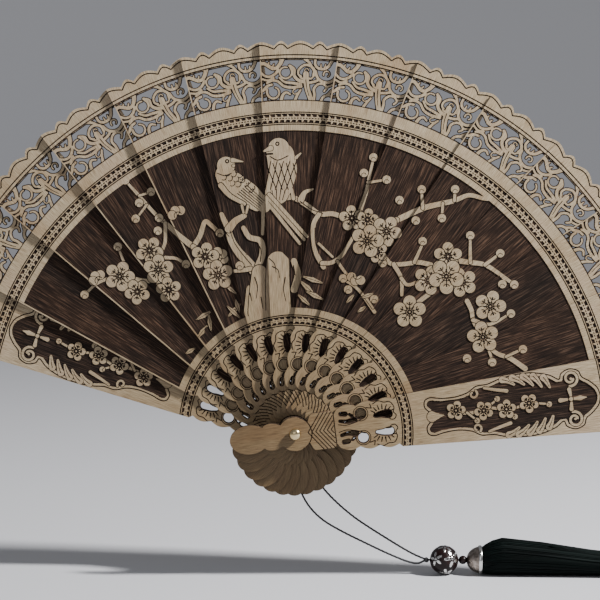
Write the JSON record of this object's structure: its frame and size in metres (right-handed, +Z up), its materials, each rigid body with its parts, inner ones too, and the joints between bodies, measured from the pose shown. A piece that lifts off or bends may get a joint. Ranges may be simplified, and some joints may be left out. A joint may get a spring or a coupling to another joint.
{
  "type": "folding fan",
  "caption": "Open pierced and engraved sandalwood folding fan: scalloped sticks between two guards on one rivet, silk ribbon behind, corded bead and tassel.",
  "frame": {"origin": "centre of the rivet that all sticks turn on, halfway through the stack of sticks", "axes": "+Y along the rivet from the front guard to the rear guard, so the fan's front faces -Y; +Z up; +X to the right as seen from the front"},
  "size_m": [0.3911, 0.0387, 0.2719],
  "materials": {
    "sandalwood": "satin, engraved and laser-burnt",
    "brass": "polished",
    "silver": "engraved, polished on its band",
    "silk_ribbon": "plain woven silk",
    "cord_silk": "braided silk",
    "dark_wood": "polished with silver inlay",
    "tassel_silk": "loose silk threads"
  },
  "bodies": {
    "rivet_and_tassel": {"rivet": "brass", "front_washer": "brass", "rear_washer": "brass", "rear_cap": "brass", "tassel_ring": "brass", "cord_strand_a": "cord_silk", "cord_strand_b": "cord_silk", "cord_core": "cord_silk", "cord_knot": "cord_silk", "carved_bead": "dark_wood", "small_bead": "dark_wood", "tassel_cap": "silver", "cap_band": "silver", "tassel_head": "tassel_silk", "tassel_skirt": "tassel_silk"},
    "front_guard": {"front_guard": "sandalwood", "ribbon_13": "silk_ribbon"},
    "stick_12": {"stick_12": "sandalwood", "ribbon_12": "silk_ribbon"},
    "stick_11": {"stick_11": "sandalwood", "ribbon_11": "silk_ribbon"},
    "stick_10": {"stick_10": "sandalwood", "ribbon_10": "silk_ribbon"},
    "stick_09": {"stick_09": "sandalwood", "ribbon_09": "silk_ribbon"},
    "stick_08": {"stick_08": "sandalwood", "ribbon_08": "silk_ribbon"},
    "stick_07": {"stick_07": "sandalwood", "ribbon_07": "silk_ribbon"},
    "stick_06": {"stick_06": "sandalwood", "ribbon_06": "silk_ribbon"},
    "stick_05": {"stick_05": "sandalwood", "ribbon_05": "silk_ribbon"},
    "stick_04": {"stick_04": "sandalwood", "ribbon_04": "silk_ribbon"},
    "stick_03": {"stick_03": "sandalwood", "ribbon_03": "silk_ribbon"},
    "stick_02": {"stick_02": "sandalwood", "ribbon_02": "silk_ribbon"},
    "stick_01": {"stick_01": "sandalwood", "ribbon_01": "silk_ribbon"},
    "rear_guard": {"rear_guard": "sandalwood"}
  },
  "joints": [
    {"name": "fan_fold", "type": "hinge", "parent": "rivet_and_tassel", "child": "front_guard", "pos_m": [0, 0, 0], "axis": [0, -1, 0], "range_deg": [0, 76.35]},
    {"name": "stick_12_turn", "type": "hinge", "parent": "front_guard", "child": "stick_12", "pos_m": [0, 0, 0], "axis": [0, 1, 0], "range_deg": [0, 11.1], "deforming": ["ribbon_13"]},
    {"name": "stick_11_turn", "type": "hinge", "parent": "stick_12", "child": "stick_11", "pos_m": [0, 0, 0], "axis": [0, 1, 0], "range_deg": [0, 11.8], "deforming": ["ribbon_12"]},
    {"name": "stick_10_turn", "type": "hinge", "parent": "stick_11", "child": "stick_10", "pos_m": [0, 0, 0], "axis": [0, 1, 0], "range_deg": [0, 11.8], "deforming": ["ribbon_11"]},
    {"name": "stick_09_turn", "type": "hinge", "parent": "stick_10", "child": "stick_09", "pos_m": [0, 0, 0], "axis": [0, 1, 0], "range_deg": [0, 11.8], "deforming": ["ribbon_10"]},
    {"name": "stick_08_turn", "type": "hinge", "parent": "stick_09", "child": "stick_08", "pos_m": [0, 0, 0], "axis": [0, 1, 0], "range_deg": [0, 11.8], "deforming": ["ribbon_09"]},
    {"name": "stick_07_turn", "type": "hinge", "parent": "stick_08", "child": "stick_07", "pos_m": [0, 0, 0], "axis": [0, 1, 0], "range_deg": [0, 11.8], "deforming": ["ribbon_08"]},
    {"name": "stick_06_turn", "type": "hinge", "parent": "stick_07", "child": "stick_06", "pos_m": [0, 0, 0], "axis": [0, 1, 0], "range_deg": [0, 11.8], "deforming": ["ribbon_07"]},
    {"name": "stick_05_turn", "type": "hinge", "parent": "stick_06", "child": "stick_05", "pos_m": [0, 0, 0], "axis": [0, 1, 0], "range_deg": [0, 11.8], "deforming": ["ribbon_06"]},
    {"name": "stick_04_turn", "type": "hinge", "parent": "stick_05", "child": "stick_04", "pos_m": [0, 0, 0], "axis": [0, 1, 0], "range_deg": [0, 11.8], "deforming": ["ribbon_05"]},
    {"name": "stick_03_turn", "type": "hinge", "parent": "stick_04", "child": "stick_03", "pos_m": [0, 0, 0], "axis": [0, 1, 0], "range_deg": [0, 11.8], "deforming": ["ribbon_04"]},
    {"name": "stick_02_turn", "type": "hinge", "parent": "stick_03", "child": "stick_02", "pos_m": [0, 0, 0], "axis": [0, 1, 0], "range_deg": [0, 11.8], "deforming": ["ribbon_03"]},
    {"name": "stick_01_turn", "type": "hinge", "parent": "stick_02", "child": "stick_01", "pos_m": [0, 0, 0], "axis": [0, 1, 0], "range_deg": [0, 11.8], "deforming": ["ribbon_02"]},
    {"name": "rear_guard_turn", "type": "hinge", "parent": "stick_01", "child": "rear_guard", "pos_m": [0, 0, 0], "axis": [0, 1, 0], "range_deg": [0, 11.8], "deforming": ["ribbon_01"]}
  ],
  "couplings": [
    {"joint": "stick_12_turn", "follows": "fan_fold", "ratio": 0.14538},
    {"joint": "stick_11_turn", "follows": "fan_fold", "ratio": 0.15455},
    {"joint": "stick_10_turn", "follows": "fan_fold", "ratio": 0.15455},
    {"joint": "stick_09_turn", "follows": "fan_fold", "ratio": 0.15455},
    {"joint": "stick_08_turn", "follows": "fan_fold", "ratio": 0.15455},
    {"joint": "stick_07_turn", "follows": "fan_fold", "ratio": 0.15455},
    {"joint": "stick_06_turn", "follows": "fan_fold", "ratio": 0.15455},
    {"joint": "stick_05_turn", "follows": "fan_fold", "ratio": 0.15455},
    {"joint": "stick_04_turn", "follows": "fan_fold", "ratio": 0.15455},
    {"joint": "stick_03_turn", "follows": "fan_fold", "ratio": 0.15455},
    {"joint": "stick_02_turn", "follows": "fan_fold", "ratio": 0.15455},
    {"joint": "stick_01_turn", "follows": "fan_fold", "ratio": 0.15455},
    {"joint": "rear_guard_turn", "follows": "fan_fold", "ratio": 0.15455}
  ]
}
